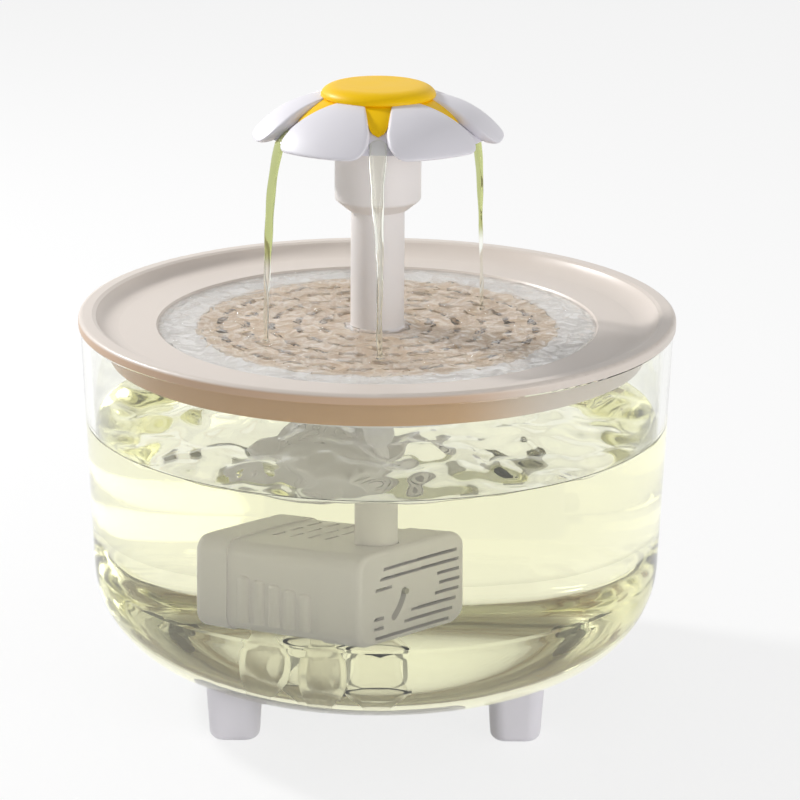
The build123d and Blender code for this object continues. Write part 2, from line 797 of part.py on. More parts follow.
def make_stator_core():
    """A U of laminations whose legs hold the rotor's well between them."""
    inner = core_leg_inner()
    outer = inner + core_leg
    back_x = core_back_x()
    height = (rotor_z - core_height / 2, rotor_z + core_height / 2)
    core = block((back_x, back_x + core_length), (-outer, outer), height)
    return core - block((back_x + core_leg, back_x + core_length), (-inner, inner), height)


def make_coil():
    """The winding around the core's back yoke."""
    inner = core_leg_inner() - loose_fit
    back_x = core_back_x()
    half = core_height / 2
    window = (back_x, back_x + core_leg)
    outer = (back_x - coil_build, back_x + core_leg + coil_build)
    height = (rotor_z - half - coil_build, rotor_z + half + coil_build)
    coil = block(outer, (-inner, inner), height)
    coil = fillet(coil.edges().filter_by(Axis.Y), coil_build * 0.8)
    return coil - block(window, (-inner, inner), (rotor_z - half, rotor_z + half))


def make_circuit_board():
    side_y = core_leg_inner() + core_leg + board_gap
    back_x = core_back_x()
    front_x = back_x + core_length
    height = (rotor_z - board_height / 2, rotor_z + board_height / 2)
    board = block((back_x, front_x), (side_y, side_y + board_thickness), height)
    # a capacitor and a chip on the outer side
    face_y = side_y + board_thickness
    capacitor_x = (back_x + board_margin, back_x + board_margin + capacitor_width)
    capacitor_z = (rotor_z - capacitor_width / 2, rotor_z + capacitor_width / 2)
    board += block(capacitor_x, (face_y, face_y + capacitor_depth), capacitor_z)
    chip_x = (front_x - board_margin - chip_width, front_x - board_margin)
    chip_z = (rotor_z - chip_width / 2, rotor_z + chip_width / 2)
    return board + block(chip_x, (face_y, face_y + chip_depth), chip_z)


def gland_spot():
    return pump_offset + pump_width / 4, rotor_z - pump_height / 6


def make_back_cap():
    cap = pump_bar(cap_back_x, body_back_x, 0)
    cap = fillet(cap.edges().group_by(Axis.X)[0], pump_edge_r)
    cap -= pump_bar(cap_back_x + pump_wall, body_back_x, pump_wall + pump_step)
    # lip that plugs into the body
    lip = pump_bar(body_back_x, body_back_x + cap_lip_length, pump_step + pump_wall + sliding_fit)
    lip -= pump_bar(body_back_x, body_back_x + cap_lip_length, pump_step + 2 * pump_wall)
    base = pump_bar(body_back_x - pump_wall, body_back_x, pump_step)
    base -= pump_bar(body_back_x - pump_wall, body_back_x, pump_step + 2 * pump_wall)
    cap += lip
    cap += base
    return cap - rod_x(gland_hole_r, cap_back_x, cap_back_x + pump_wall, *gland_spot())


def make_cable_gland():
    """A rubber grommet with a flange on each side of the cap's back wall."""
    spot = gland_spot()
    inside_x = cap_back_x + pump_wall
    gland = rod_x(gland_hole_r, cap_back_x, inside_x, *spot)
    gland += rod_x(gland_r, cap_back_x - gland_flange, cap_back_x, *spot)
    gland += rod_x(gland_r, inside_x, inside_x + gland_flange, *spot)
    gland += rod_x(gland_bore_r + gland_wall, cap_back_x - gland_length, cap_back_x, *spot)
    return gland - rod_x(gland_bore_r, cap_back_x - gland_length, inside_x + gland_flange, *spot)


def make_suction_cup():
    seat_z = pump_z + pump_step
    stud_z = seat_z + pump_wall
    rim_z = floor_z
    cup = turned(
        (0, seat_z),
        (cup_neck_r, seat_z),
        (cup_neck_r, seat_z - cup_height * 0.3),
        (cup_r * 0.62, floor_z + cup_height * 0.42),
        (cup_r, rim_z + cup_wall * 0.5),
        (cup_r, rim_z),
        (cup_r - cup_wall, rim_z),
        (cup_r * 0.5, floor_z + cup_height * 0.3),
        (0, floor_z + cup_height * 0.34),
    )
    return cup + disc(cup_stud_r, seat_z, stud_z)


def make_outlet_tube():
    return ring(neck_r, spigot_r, neck_shoulder_z, outlet_tube_top_z)


# ---- build every node -------------------------------------------------------------
save(make_bowl(), "bowl")
for name in foot_angles:
    save(make_foot(name), f"foot_{name}")
    save(make_foot_pad(name), f"foot_pad_{name}")

save(make_tray(), "tray")
save(make_filter_grid(), "filter_grid")
save(make_filter_felt(), "filter_felt")
save(make_filter_carbon(), "filter_carbon")

save(make_riser(), "riser")
save(make_collar(), "spout_collar")
save(make_spout_ring(), "spout_ring")
save(make_petals(), "flower_petals")
save(make_flower_centre(), "flower_centre")

save(pump_place * make_pump_housing(), "pump_housing")
save(pump_place * make_front_cover(), "pump_front_cover")
save(pump_place * make_flow_lever(), "flow_lever")
save(pump_place * make_volute_cover(), "volute_cover")
save(pump_place * make_seal_ring(), "volute_seal_ring")
save(pump_place * make_shaft(), "pump_shaft")
save(pump_place * make_bush(*rear_bush_x(), rotor_well_r), "rear_bush")
front_bush_x = (volute_front_x, volute_front_x + volute_plate)
save(pump_place * make_bush(*front_bush_x, bush_r), "front_bush")
save(pump_place * make_impeller(), "impeller")
save(pump_place * make_rotor_magnet(), "rotor_magnet")
save(pump_place * make_stator_core(), "stator_core")
save(pump_place * make_coil(), "stator_coil")
save(pump_place * make_circuit_board(), "circuit_board")
save(pump_place * make_back_cap(), "pump_back_cap")
save(pump_place * make_cable_gland(), "cable_gland")
save(pump_place * make_outlet_tube(), "outlet_tube")
cup_names = ("rear_near", "rear_far", "front_near", "front_far")
for cup_name, spot in zip(cup_names, cup_spots()):
    save(pump_place * (spot * make_suction_cup()), f"suction_cup_{cup_name}")
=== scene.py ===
from math import asin, atan, atan2, cos, degrees, exp, hypot, pi, radians, sin, sqrt, tau

import bmesh
import bpy
from mathutils import Matrix, Vector, noise


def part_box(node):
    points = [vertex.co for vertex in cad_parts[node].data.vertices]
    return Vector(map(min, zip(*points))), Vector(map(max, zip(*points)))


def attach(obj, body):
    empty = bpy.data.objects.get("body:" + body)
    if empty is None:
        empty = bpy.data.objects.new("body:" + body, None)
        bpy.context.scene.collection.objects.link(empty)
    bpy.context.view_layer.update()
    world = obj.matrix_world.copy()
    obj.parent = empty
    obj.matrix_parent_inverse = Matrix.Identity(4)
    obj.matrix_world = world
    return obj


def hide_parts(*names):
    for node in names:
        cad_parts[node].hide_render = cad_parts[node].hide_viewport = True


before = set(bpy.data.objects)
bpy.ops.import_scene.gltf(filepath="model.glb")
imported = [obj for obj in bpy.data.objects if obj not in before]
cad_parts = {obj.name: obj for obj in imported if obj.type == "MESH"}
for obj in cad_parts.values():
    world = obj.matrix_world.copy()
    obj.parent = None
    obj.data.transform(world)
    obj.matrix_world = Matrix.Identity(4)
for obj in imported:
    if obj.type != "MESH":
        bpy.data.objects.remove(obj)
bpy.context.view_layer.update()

# Looks of the pet water fountain. New pieces are modelled in millimetres in the CAD frame,
# with +Z up along the riser and -Y to the front, and are scaled to metres when finished.
millimetre = 0.001        # in metres
same_point = 1e-4         # points closer than this are one


def box_mm(node):
    """A CAD node's lowest and highest corners, in millimetres."""
    low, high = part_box(node)
    return low / millimetre, high / millimetre


# ---- sizes that follow from the frame ---------------------------------------------
tray_low, tray_high = box_mm("tray")
grid_low, grid_high = box_mm("filter_grid")
bowl_high = box_mm("bowl")[1]

rim_r = tray_high.x
lip_z = tray_high.z
bowl_top_r = bowl_high.x
bowl_top_z = bowl_high.z
shelf_z = grid_high.z             # the shelf round the grid is level with its top
collar_top_z = box_mm("spout_collar")[1].z
centre_top_z = box_mm("flower_centre")[1].z

# ---- sizes of the bowl and its water, in millimetres --------------------------------
bowl_bottom_z = 15.0
bowl_base_r = 87.85
bowl_corner_r = 30.6
bowl_corner_steps = 18
bowl_wall = 2.6
bowl_floor = 3.0
water_z = 90.0            # level of the water in the bowl
wetting = 0.25            # the water reaches this far into the wall, so that no air shows between
meniscus = 1.6            # how far the water climbs the wall
meniscus_run = 1.6        # over this width the climb falls to about a third
bowl_water_rings = 72
bowl_first_ring = 0.3     # the surface's outermost ring stands this far inside the wall
bowl_still_edge = 1.0     # no waves this near the wall
bowl_calm_run = 8         # the waves grow to their full height over this width
level_slack = 0.01        # a point this near a level lies on it

# ---- waves -------------------------------------------------------------------------
# each swell's height, its lengths from left to right and front to back, and its place in the noise
bowl_swells = ((3.0, 17, 22, 0.3), (1.6, 8, 10, 5.1))
pool_swells = ((1.0, 9.5, 8.0, 2.0), (0.42, 4.4, 3.8, 7.0))
# rings round falling water: their height, radians a millimetre, and how far they reach
drip_rings = (0.6, 1.1, 7)
stream_rings = (0.45, 1.5, 6)

# ---- the tray's pool ---------------------------------------------------------------
deck_drop = 4.0           # from the lip's top to the deck
pool_drop = 0.6           # from the deck to the pool's water
deck_z = lip_z - deck_drop
pool_z = deck_z - pool_drop
pool_r = 68.5
pool_bank_run = 1.8
pool_water_rings = 130
pool_first_ring = 0.35    # the surface's outermost ring stands this far inside the pool's edge
pool_bank_gap = 0.1
pool_edge_rise = 0.4      # how far the water climbs the pool's edge
pool_calm_run = 5
riser_r = 8.3
riser_gap = 0.3
skirt_gap = 6.3           # between the bowl's wall and the skirt
skirt_r = bowl_top_r - bowl_wall - skirt_gap

# ---- the flower --------------------------------------------------------------------
petal_count = 6
petal_thickness = 3.2
petal_puff = 0.5          # how far a petal swells between its edges
petal_edge_drop = 0.1     # a petal's edges lie this far under the petals' line
petal_across_steps = 16
petal_along_steps = 14
gutter_wall = 1.3
crown = (14.0, lip_z + 68.0)      # radius and height where the petals start
shoulder = (28.3, lip_z + 63.8)
petal_rim = (39.2, lip_z + 54.9)
gutter_reach = 0.93       # how far along the petals' line the gutters reach
gutter_steps = 24
gap_inner_half = 4.0
gap_outer_half = 2.7
gap_inner_r = 15.5
gap_narrow_r = 31.5
gap_mouth_half = 3.6
petal_corner_r = 5.5
centre_r = 17.6
centre_flat_r = 12.4      # the level part of the centre's top
centre_side = 3.6
centre_foot = 0.4         # the centre's edge draws in by this much at its underside
centre_edge_steps = 12
arm_root_inset = -1.5     # the arms' tops start outside the petals' line, so this is below zero
arm_root_share = -0.12    # where along the petals' line the arms start, inside the centre
arm_inner_half = 4.6
arm_tip_half = 1.6
arm_tip_share = 0.62      # how far along the petals' line the arms reach
arm_round_share = 0.14    # the share of an arm's length that its rounded tip takes
arm_tip_least = 0.02      # keeps the tip from closing to a line
arm_tip_rise = 0.5        # the arms' tips stand this far above the gutter
arm_fall_power = 0.7      # the arms sink fast near the centre and slowly near the tip
arm_crown = 0.25          # an arm's middle stands this far above its edges
arm_foot = 0.05           # the arms' underside lies this far above the gutter
arm_top_gap = 0.6         # the arms stay this far under the centre's top
arm_across_steps = 8
arm_along_steps = 14

neck_r = 11.1
neck_wall = 2.2
neck_in_collar = 2        # how deep the neck stands in the collar
neck_in_gutter = 0.4

# ---- falling water ------------------------------------------------------------------
# each stream's azimuth from the front in degrees, landing radius, drift and phase
streams = {
    "stream_left": (-60, 39.2, 0.0, 0.4),
    "stream_front": (0, 38.8, -1.0, 0.1),
    "stream_right": (120, 38.0, 0.0, 2.2),
}
film_share = 0.1          # the share of a stream's points that lie on its gutter
film_start = 0.72         # where along the gutter the film begins
film_rise = 0.3           # the film's middle lies this far above the gutter
fall_ease = 1.25          # spaces a stream's points closer together near its gutter
fall_bend = 3.5           # how soon a stream turns from outwards to straight down
landing_depth = 0.4
# a stream's ribbon, with half its width and half its thickness in millimetres
land_wide = 0.75          # half width where it lands
top_wide = 0.6            # wider by this at the top
gutter_wide = 1.3         # and by this as it leaves the gutter
wide_waver = 0.1
wide_waves = 30           # radians of that waver over the fall
land_deep = 0.5           # half thickness where it lands
top_deep = 0.3            # thicker by this at the top
deep_waver = 0.1
deep_waves = 23
twist = 0.7               # how far it turns about its own line
twist_waves = 2.6         # radians of that turning over the fall
sway = 0.25               # how far it wanders sideways
sway_waves = 9
opening_share = 0.03      # the share of its points over which the upper end opens
opening_least = 0.01      # keeps that end from closing to a point
splash_gain = 0.9         # wider by this share where it lands
splash_narrowing = 60     # how suddenly that ends above the water
stream_around_steps = 20
stream_along_steps = 90
drain_circle_r = 46.0
drip_angles = (0, 150)
drip_r = 0.45
drip_hang = 1.3           # a drip is wider by this at its hole
drip_narrowing = 9        # how suddenly that ends below the hole
drip_waver = 0.05
drip_waves = 11           # radians of that waver over the fall
drip_entry = 0.2          # how far a drip starts inside its hole
drip_around_steps = 12
drip_along_steps = 16

# ---- turning steps -----------------------------------------------------------------
fine_steps = 256
round_steps = 128
small_steps = 48
crisp_angle = radians(32)

# ---- patterns ----------------------------------------------------------------------
one_band = 0.31           # a wave texture at this scale draws about one band a millimetre


# ---- meshes ------------------------------------------------------------------------
def profile_arc(centre, radius, start, end, steps):
    """Points of an arc in the radius-height plane, angles in degrees from outwards to up."""
    points = []
    for k in range(steps + 1):
        angle = radians(start + (end - start) * k / steps)
        points.append((centre[0] + radius * cos(angle), centre[1] + radius * sin(angle)))
    return points


def lathe(outline, steps=round_steps, closed=False):
    """A skin turned about the fountain's axis from (radius, height) points."""
    bm = bmesh.new()
    verts = [bm.verts.new((r, 0, z)) for r, z in outline]
    pairs = list(zip(verts, verts[1:]))
    if closed:
        pairs.append((verts[-1], verts[0]))
    edges = [bm.edges.new(pair) for pair in pairs]
    bmesh.ops.spin(
        bm, geom=verts + edges, cent=(0, 0, 0), axis=(0, 0, 1),
        angle=tau, steps=steps, use_merge=True,
    )
    bmesh.ops.remove_doubles(bm, verts=bm.verts, dist=same_point)
    bmesh.ops.recalc_face_normals(bm, faces=bm.faces)
    return bm


def plate(across_steps, along_steps, spot):
    """A curved closed plate. spot(u, w, side) places its points, side 0 above and 1 below."""
    bm = bmesh.new()
    bmesh.ops.create_grid(bm, x_segments=across_steps, y_segments=along_steps, size=1)
    upper = bm.verts[:]
    made = bmesh.ops.extrude_face_region(bm, geom=bm.faces[:])
    under = [v for v in made["geom"] if isinstance(v, bmesh.types.BMVert)]
    for side, verts in enumerate((upper, under)):
        for v in verts:
            v.co = spot(v.co.x, (v.co.y + 1) / 2, side)
    bmesh.ops.recalc_face_normals(bm, faces=bm.faces)
    # on a thin bent plate that can turn every face inwards, and its volume then comes out below zero
    if bm.calc_volume(signed=True) < 0:
        bmesh.ops.reverse_faces(bm, faces=bm.faces)
    return bm


def tube(around_steps, along_steps, spot):
    """A closed tube along a path. spot(angle, w) places its points."""
    bm = bmesh.new()
    bmesh.ops.create_grid(bm, x_segments=around_steps, y_segments=along_steps, size=1)
    for v in bm.verts:
        v.co = spot(v.co.x * pi, (v.co.y + 1) / 2)
    bmesh.ops.remove_doubles(bm, verts=bm.verts, dist=same_point)
    bmesh.ops.holes_fill(bm, edges=[edge for edge in bm.edges if edge.is_boundary])
    bmesh.ops.recalc_face_normals(bm, faces=bm.faces)
    return bm


def join_into(bm, other):
    """Adds another bmesh's faces to this one."""
    mesh = bpy.data.meshes.new("joined")
    other.to_mesh(mesh)
    other.free()
    bm.from_mesh(mesh)
    bpy.data.meshes.remove(mesh)
    return bm


def finish_piece(bm, name, body, material, replaces=(), levels=0, crisp=crisp_angle):
    """Turns a bmesh in millimetres into a finished piece that rides on a body."""
    bmesh.ops.scale(bm, vec=(millimetre,) * 3, verts=bm.verts)
    for edge in bm.edges:
        edge.smooth = edge.calc_face_angle(0) < crisp
    mesh = bpy.data.meshes.new(name)
    bm.to_mesh(mesh)
    bm.free()
    mesh.polygons.foreach_set("use_smooth", [True] * len(mesh.polygons))
    mesh.materials.append(material)
    piece = bpy.data.objects.new(name, mesh)
    bpy.context.scene.collection.objects.link(piece)
    if levels:
        subdivision = piece.modifiers.new("rounding", "SUBSURF")
        subdivision.levels = subdivision.render_levels = levels
    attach(piece, body)
    if replaces:
        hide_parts(*replaces)
    return piece


# ---- materials ---------------------------------------------------------------------
def linear(colour):
    """An sRGB hex colour as linear red, green, blue and full alpha."""
    parts = [int(colour[k:k + 2], 16) / 255 for k in (1, 3, 5)]
    return tuple(c / 12.92 if c <= 0.04045 else ((c + 0.055) / 1.055) ** 2.4 for c in parts) + (1.0,)


def add(tree, kind, inputs=None, **settings):
    """Adds a shader node. inputs maps a socket's name or number to a value or to an output."""
    made = tree.nodes.new(kind)
    for name, value in settings.items():
        setattr(made, name, value)
    for key, value in (inputs or {}).items():
        socket = made.inputs[key]
        if isinstance(value, bpy.types.NodeSocket):
            tree.links.new(value, socket)
        else:
            socket.default_value = value
    return made


def new_material(name, **shader):
    """A material with one Principled shader whose sockets are set from the keywords."""
    material = bpy.data.materials.new(name)
    material.use_nodes = True
    tree = material.node_tree
    principled = tree.nodes["Principled BSDF"]
    for key, value in shader.items():
        principled.inputs[key.replace("_", " ")].default_value = value
    return material, tree, principled


def object_point(tree):
    """Object coordinates in millimetres."""
    coordinates = add(tree, "ShaderNodeTexCoord")
    mapping = add(tree, "ShaderNodeMapping", {
        "Vector": coordinates.outputs["Object"],
        "Scale": (1 / millimetre,) * 3,
    })
    return mapping.outputs["Vector"]


def moulded_plastic(
    name, colour, shade, roughness, grain=0.5, grain_height=0.012, patch=22.0, zones=None, **shader
):
    """Injection-moulded plastic: a body colour that drifts slightly, and a fine spark-eroded grain."""
    material, tree, principled = new_material(name, **shader)
    point = object_point(tree)
    drift = add(tree, "ShaderNodeTexNoise", {
        "Vector": point, "Scale": 1 / patch, "Detail": 3.0, "Roughness": 0.55,
    })
    body = add(tree, "ShaderNodeMix", {
        "Factor": drift.outputs["Fac"], 6: linear(shade), 7: linear(colour),
    }, data_type="RGBA")
    # the true grain is near 0.1 mm, drawn several times coarser so that it shows
    speckle = add(tree, "ShaderNodeTexNoise", {"Vector": point, "Scale": 1 / grain, "Detail": 2.0})
    relief = add(tree, "ShaderNodeBump", {
        "Strength": 0.35, "Distance": grain_height * millimetre, "Height": speckle.outputs["Fac"],
    })
    gloss = add(tree, "ShaderNodeMapRange", {
        "Value": drift.outputs["Fac"], "From Min": 0.3, "From Max": 0.7,
        "To Min": roughness - 0.04, "To Max": roughness + 0.05,
    })
    # zones paints more colour over the body; on the tray this is painted shade and painted light
    colour_out = zones(tree, point, body.outputs[2]) if zones else body.outputs[2]
    tree.links.new(colour_out, principled.inputs["Base Color"])
    tree.links.new(gloss.outputs["Result"], principled.inputs["Roughness"])
    tree.links.new(relief.outputs["Normal"], principled.inputs["Normal"])
    return material


def tray_painted_light(tree, point, body):
    """Painted shade in golden tones on the skirt and the rim's side, fading to the right, and painted light
    that whitens the pool and the underside.
    """
    flat = add(tree, "ShaderNodeVectorMath", {0: point, 1: (1, 1, 0)}, operation="MULTIPLY")
    radius = add(tree, "ShaderNodeVectorMath", {0: flat.outputs[0]}, operation="LENGTH").outputs["Value"]
    axes = add(tree, "ShaderNodeSeparateXYZ", {"Vector": point})
    across, level = axes.outputs["X"], axes.outputs["Z"]
    # each limit is a place in millimetres, where the tone starts along it and where it is full
    # the painted shade fades out towards the right, where the light falls
    shade_fades_right = (across, 55.0, 20.0)
    zones = (
        ("#C9AA8E", (  # painted shade on the rim's side
            (radius, rim_r - 0.9, rim_r - 0.3), (level, lip_z - 0.5, lip_z - 1.3), shade_fades_right,
        )),
        ("#CFA676", (  # painted shade and warm bounced light on the skirt's outside
            (radius, skirt_r - 2.4, skirt_r - 1.8), (level, deck_z - 0.5, deck_z - 0.9), shade_fades_right,
        )),
        ("#FBF8F3", (  # painted light that whitens the pool
            (radius, pool_r - 0.6, pool_r - 1.6), (level, shelf_z - 2.0, shelf_z - 1.4),
        )),
        ("#FBF9F6", (  # painted light that whitens the underside within the skirt
            (radius, skirt_r - 1.8, skirt_r - 2.4), (level, shelf_z - 2.0, shelf_z - 2.6),
        )),
    )
    colour = body
    for tone, limits in zones:
        mask = 1.0
        for place, begins, full in limits:
            ramp = add(tree, "ShaderNodeMapRange", {
                "Value": place, "From Min": begins, "From Max": full,
            }, interpolation_type="SMOOTHSTEP")
            mask = add(tree, "ShaderNodeMath", {
                0: mask, 1: ramp.outputs["Result"],
            }, operation="MULTIPLY").outputs[0]
        colour = add(tree, "ShaderNodeMix", {
            "Factor": mask, 6: colour, 7: linear(tone),
        }, data_type="RGBA").outputs[2]
    return colour


# tray: satin ABS, warm white with a hint of pink
# its skirt and rim side take painted shade, and its pool and underside painted light
tray_abs = moulded_plastic("satin_abs_warm_white", "#E3D9D0", "#DCD1C7", 0.36, zones=tray_painted_light)
# grid: the same ABS in a sand colour
grid_abs = moulded_plastic("satin_abs_sand", "#FAEDDA", "#F3E3CD", 0.42)
# riser and collar: satin ABS, a little greyer than the tray
spout_abs = moulded_plastic("satin_abs_white", "#F1EDEC", "#ECE7E5", 0.38)
# petals: smooth moulded ABS, cool white
petal_abs = moulded_plastic("smooth_abs_cool_white", "#EAE8EE", "#E6E3EA", 0.42, patch=14.0)
# centre: smooth moulded ABS, egg-yolk yellow
yolk_abs = moulded_plastic(
    "smooth_abs_yolk_yellow", "#FFD000", "#FCC900", 0.42, patch=14.0, Specular_IOR_Level=0.2,
)
# pump: satin ABS, grey-white
pump_abs = moulded_plastic("satin_abs_pump_white", "#F5F1FA", "#F0ECF5", 0.40)
# flow lever: satin ABS, mid grey
lever_abs = moulded_plastic("satin_abs_lever_grey", "#B9B6B1", "#B1AEA9", 0.42)
# outlet tube: satin ABS, as white as the pump
tube_abs = moulded_plastic("satin_tube_white", "#F5F1F9", "#F0ECF4", 0.40)
# feet: satin ABS, white and a little glossier than the pump
foot_abs = moulded_plastic("satin_abs_foot_white", "#F3F0F6", "#EFECF2", 0.36)
# impeller: moulded acetal, off-white and waxy
acetal = moulded_plastic("moulded_acetal", "#D8D8D2", "#D0D0CA", 0.45)
# foot pads: moulded rubber, matt grey with a coarse grain
pad_rubber = moulded_plastic("grey_pad_rubber", "#B8B8B8", "#ADADAD", 0.70, grain=0.7, grain_height=0.03)
# seals and bushes: moulded rubber, near black
seal_rubber = moulded_plastic("black_seal_rubber", "#2A2A2C", "#222224", 0.60)
# cable gland: moulded rubber, pale grey
gland_rubber = moulded_plastic("grey_grommet_rubber", "#BFBFBD", "#B5B5B3", 0.65)
# rotor magnet: sintered ferrite, dark and finely rough
ferrite = moulded_plastic("sintered_ferrite", "#2B2B2D", "#232325", 0.50, grain=0.4, grain_height=0.03)
# filter's carbon: a bed of granules, black and coarse
carbon = moulded_plastic("carbon_granules", "#1C1C1C", "#0E0E0E", 0.75, grain=1.4, grain_height=0.6)
# circuit board: glass laminate under green lacquer
board = moulded_plastic("circuit_board_laminate", "#2A6A3C", "#245E34", 0.35)


def ground_steel():
    """Ground stainless steel: fine grinding marks round the shaft."""
    material, tree, principled = new_material("ground_stainless_steel", Metallic=1.0)
    point = object_point(tree)
    marks = add(tree, "ShaderNodeTexNoise", {"Vector": point, "Scale": 3.0, "Detail": 4.0})
    gloss = add(tree, "ShaderNodeMapRange", {"Value": marks.outputs["Fac"], "To Min": 0.18, "To Max": 0.34})
    principled.inputs["Base Color"].default_value = linear("#C9C9CB")
    tree.links.new(gloss.outputs["Result"], principled.inputs["Roughness"])
    return material


def laminated_steel(pitch=0.5):
    """Stacked electrical steel: thin sheets one on another, seen as fine level lines."""
    material, tree, principled = new_material("stacked_electrical_steel", Metallic=0.9, Roughness=0.45)
    point = object_point(tree)
    sheets = add(tree, "ShaderNodeTexWave", {
        "Vector": point, "Scale": one_band / pitch, "Distortion": 0.3,
    }, bands_direction="Z")
    tone = add(tree, "ShaderNodeMix", {
        "Factor": sheets.outputs["Fac"], 6: linear("#5A5C60"), 7: linear("#8A8D92"),
    }, data_type="RGBA")
    tree.links.new(tone.outputs[2], principled.inputs["Base Color"])
    return material


def enamelled_copper(pitch=0.5):
    """A winding of enamelled copper wire, side by side."""
    material, tree, principled = new_material("enamelled_copper_winding", Metallic=0.7, Roughness=0.32)
    point = object_point(tree)
    turns = add(tree, "ShaderNodeTexWave", {
        "Vector": point, "Scale": one_band / pitch, "Distortion": 0.4,
    }, bands_direction="Y")
    tone = add(tree, "ShaderNodeMix", {
        "Factor": turns.outputs["Fac"], 6: linear("#7A3F1E"), 7: linear("#B4672F"),
    }, data_type="RGBA")
    relief = add(tree, "ShaderNodeBump", {
        "Strength": 0.8, "Distance": 0.2 * millimetre, "Height": turns.outputs["Fac"],
    })
    tree.links.new(tone.outputs[2], principled.inputs["Base Color"])
    tree.links.new(relief.outputs["Normal"], principled.inputs["Normal"])
    return material


def needled_felt(fibre=0.6):
    """White needled filter felt: short tangled fibres, matt with a soft sheen."""
    material, tree, principled = new_material("needled_felt", Roughness=0.95, Sheen_Weight=0.3)
    point = object_point(tree)
    fibres = add(tree, "ShaderNodeTexNoise", {
        "Vector": point, "Scale": 1 / fibre, "Detail": 5.0, "Distortion": 2.5,
    })
    tone = add(tree, "ShaderNodeMix", {
        "Factor": fibres.outputs["Fac"], 6: linear("#D9D6CE"), 7: linear("#F3F1EA"),
    }, data_type="RGBA")
    relief = add(tree, "ShaderNodeBump", {
        "Strength": 0.9, "Distance": 0.3 * millimetre, "Height": fibres.outputs["Fac"],
    })
    tree.links.new(tone.outputs[2], principled.inputs["Base Color"])
    tree.links.new(relief.outputs["Normal"], principled.inputs["Normal"])
    return material


def clear_plastic():
    """Polished clear styrene: glassy, faintly warm, with hardly any surface marks."""
    material, tree, principled = new_material(
        "polished_clear_plastic", Transmission_Weight=1.0, IOR=1.46, Roughness=0.0,
    )
    point = object_point(tree)
    flow = add(tree, "ShaderNodeTexNoise", {"Vector": point, "Scale": 1 / 45, "Detail": 1.0})
    tint = add(tree, "ShaderNodeMix", {
        "Factor": flow.outputs["Fac"], 6: linear("#FBFCF8"), 7: linear("#FFFFFC"),
    }, data_type="RGBA")
    tree.links.new(tint.outputs[2], principled.inputs["Base Color"])
    return material


def clear_water(name, colour, shade, patch=40.0):
    """Water: smooth, with its tint drifting a little."""
    material, tree, principled = new_material(name, Transmission_Weight=1.0, IOR=1.333, Roughness=0.0)
    point = object_point(tree)
    drift = add(tree, "ShaderNodeTexNoise", {"Vector": point, "Scale": 1 / patch, "Detail": 1.0})
    tint = add(tree, "ShaderNodeMix", {
        "Factor": drift.outputs["Fac"], 6: linear(shade), 7: linear(colour),
    }, data_type="RGBA")
    tree.links.new(tint.outputs[2], principled.inputs["Base Color"])
    return material, tree


def rippled_water(ripple=5.0):
    """Shallow water beaten by the falling streams, with painted caustics: white lines on the ripples'
    crests over a tan tint above the grid.
    """
    material, tree, principled = new_material(
        "rippled_pool_water_painted_caustics", Transmission_Weight=0.88, IOR=1.333, Roughness=0.0,
    )
    point = object_point(tree)
    waves = add(tree, "ShaderNodeTexNoise", {
        "Vector": point, "Scale": 1 / ripple, "Detail": 1.0, "Distortion": 0.8,
    })
    level = add(tree, "ShaderNodeMath", {0: waves.outputs["Fac"], 1: 0.5}, operation="SUBTRACT")
    caustic_crest = add(tree, "ShaderNodeMath", {0: level.outputs[0]}, operation="ABSOLUTE")
    off_caustic = add(tree, "ShaderNodeMapRange", {
        "Value": caustic_crest.outputs[0], "From Min": 0.015, "From Max": 0.07,
    }, interpolation_type="SMOOTHSTEP")
    flat = add(tree, "ShaderNodeVectorMath", {0: point, 1: (1, 1, 0)}, operation="MULTIPLY")
    radius = add(tree, "ShaderNodeVectorMath", {0: flat.outputs[0]}, operation="LENGTH")
    over_grid = add(tree, "ShaderNodeMapRange", {
        "Value": radius.outputs["Value"], "From Min": grid_high.x + 0.8, "From Max": grid_high.x - 0.8,
    })
    share = add(tree, "ShaderNodeMath", {
        0: off_caustic.outputs["Result"], 1: over_grid.outputs["Result"],
    }, operation="MULTIPLY")
    # painted caustics: white on the crests and outside the grid, tan between the crests over the grid
    tint = add(tree, "ShaderNodeMix", {
        "Factor": share.outputs[0], 6: linear("#FFFFFF"), 7: linear("#E9DDD0"),
    }, data_type="RGBA")
    relief = add(tree, "ShaderNodeBump", {
        "Strength": 1.0, "Distance": 4.8 * millimetre, "Height": waves.outputs["Fac"],
    })
    tree.links.new(tint.outputs[2], principled.inputs["Base Color"])
    tree.links.new(relief.outputs["Normal"], principled.inputs["Normal"])
    return material


def deep_water():
    """A bowlful of water, which takes a pale straw tint over its depth."""
    material, tree = clear_water("straw_tinted_water", "#FFFFFD", "#FCFDF6")
    depth = add(tree, "ShaderNodeVolumeAbsorption", {"Color": linear("#FAF159"), "Density": 2.0})
    tree.links.new(depth.outputs["Volume"], tree.nodes["Material Output"].inputs["Volume"])
    return material


def tinted_stream(clear_at=21, leafy_at=27):
    """Falling water, leafy where it is thick and clear as it thins, at heights above the deck."""
    material, tree, principled = new_material(
        "leaf_tinted_falling_water", Transmission_Weight=1.0, IOR=1.333, Roughness=0.0,
    )
    axes = add(tree, "ShaderNodeSeparateXYZ", {"Vector": object_point(tree)})
    height = add(tree, "ShaderNodeMapRange", {
        "Value": axes.outputs["Z"], "From Min": deck_z + clear_at, "From Max": deck_z + leafy_at,
    }, interpolation_type="SMOOTHSTEP")
    tint = add(tree, "ShaderNodeMix", {
        "Factor": height.outputs["Result"], 6: linear("#FAFBF4"), 7: linear("#C2C98A"),
    }, data_type="RGBA")
    tree.links.new(tint.outputs[2], principled.inputs["Base Color"])
    return material


